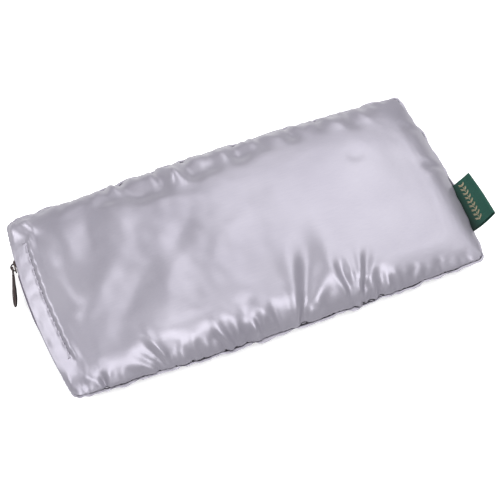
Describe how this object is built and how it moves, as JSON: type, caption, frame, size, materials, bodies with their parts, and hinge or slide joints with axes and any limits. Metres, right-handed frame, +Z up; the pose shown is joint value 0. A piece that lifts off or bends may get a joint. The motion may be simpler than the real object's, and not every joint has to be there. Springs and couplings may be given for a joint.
{
  "type": "eye pillow",
  "caption": "Flat seed-filled eye pillow: satin cover with a short end zip and hanging pull, sewn-in label tab, and a removable cloth bag of seeds inside.",
  "frame": {"origin": "centre of the flat underside that the pillow rests on", "axes": "+X along the length towards the end with the label tab (the zip end is -X), +Y across the width away from the tab's side, +Z up"},
  "size_m": [0.2499, 0.116, 0.026],
  "materials": {
    "satin": "satin",
    "thread": "satin",
    "muslin": "matte",
    "seeds": "satin",
    "zip_tape": "matte",
    "zip_coil": "satin",
    "gunmetal": "satin",
    "label_ribbon": "satin"
  },
  "bodies": {
    "cover": {"cover_top_panel": "satin", "cover_bottom_panel": "satin", "front_seam_thread": "thread", "back_seam_thread": "thread", "label_end_seam_thread": "thread", "zip_end_seam_thread": "thread", "inner_bag_top": "muslin", "inner_bag_bottom": "muslin", "inner_bag_seam_thread": "thread", "seed_fill": "seeds", "zip_bottom_stop": "gunmetal"},
    "upper_lip": {"upper_zip_hem": "satin", "upper_topstitch": "thread", "upper_zip_tape": "zip_tape", "upper_zip_coil": "zip_coil", "upper_top_stop": "gunmetal"},
    "lower_lip": {"lower_zip_hem": "satin", "lower_topstitch": "thread", "lower_zip_tape": "zip_tape", "lower_zip_coil": "zip_coil", "lower_top_stop": "gunmetal"},
    "slider": {"slider_body": "gunmetal", "slider_bail": "gunmetal"},
    "pull": {"pull_tab": "gunmetal"},
    "label": {"label_loop": "label_ribbon"}
  },
  "joints": [
    {"name": "slider_travel", "type": "hinge", "parent": "cover", "child": "slider", "pos_m": [0.26512, 0, 0.0085], "axis": [0, 0, 1], "range_deg": [0, 8.9]},
    {"name": "upper_lip_lift", "type": "slide", "parent": "cover", "child": "upper_lip", "axis": [0, 0, 1], "range_m": [0, 0.009], "deforming": ["upper_zip_coil", "upper_zip_tape"]},
    {"name": "lower_lip_drop", "type": "slide", "parent": "cover", "child": "lower_lip", "axis": [0, 0, -1], "range_m": [0, 0.0015], "deforming": ["lower_zip_coil", "lower_zip_tape"]},
    {"name": "pull_swing", "type": "hinge", "parent": "slider", "child": "pull", "pos_m": [-0.11593, 0.02724, 0.0085], "axis": [0.0677, 0.2498, -0.9659], "range_deg": [-6, 135]},
    {"name": "label_flap", "type": "hinge", "parent": "cover", "child": "label", "pos_m": [0.1143, -0.024, 0.0085], "axis": [-0.0631, -0.998, 0], "range_deg": [-62, 55]}
  ],
  "couplings": [
    {"joint": "upper_lip_lift", "follows": "slider_travel", "m_per_rad": 0.0579},
    {"joint": "lower_lip_drop", "follows": "slider_travel", "m_per_rad": 0.0096}
  ]
}
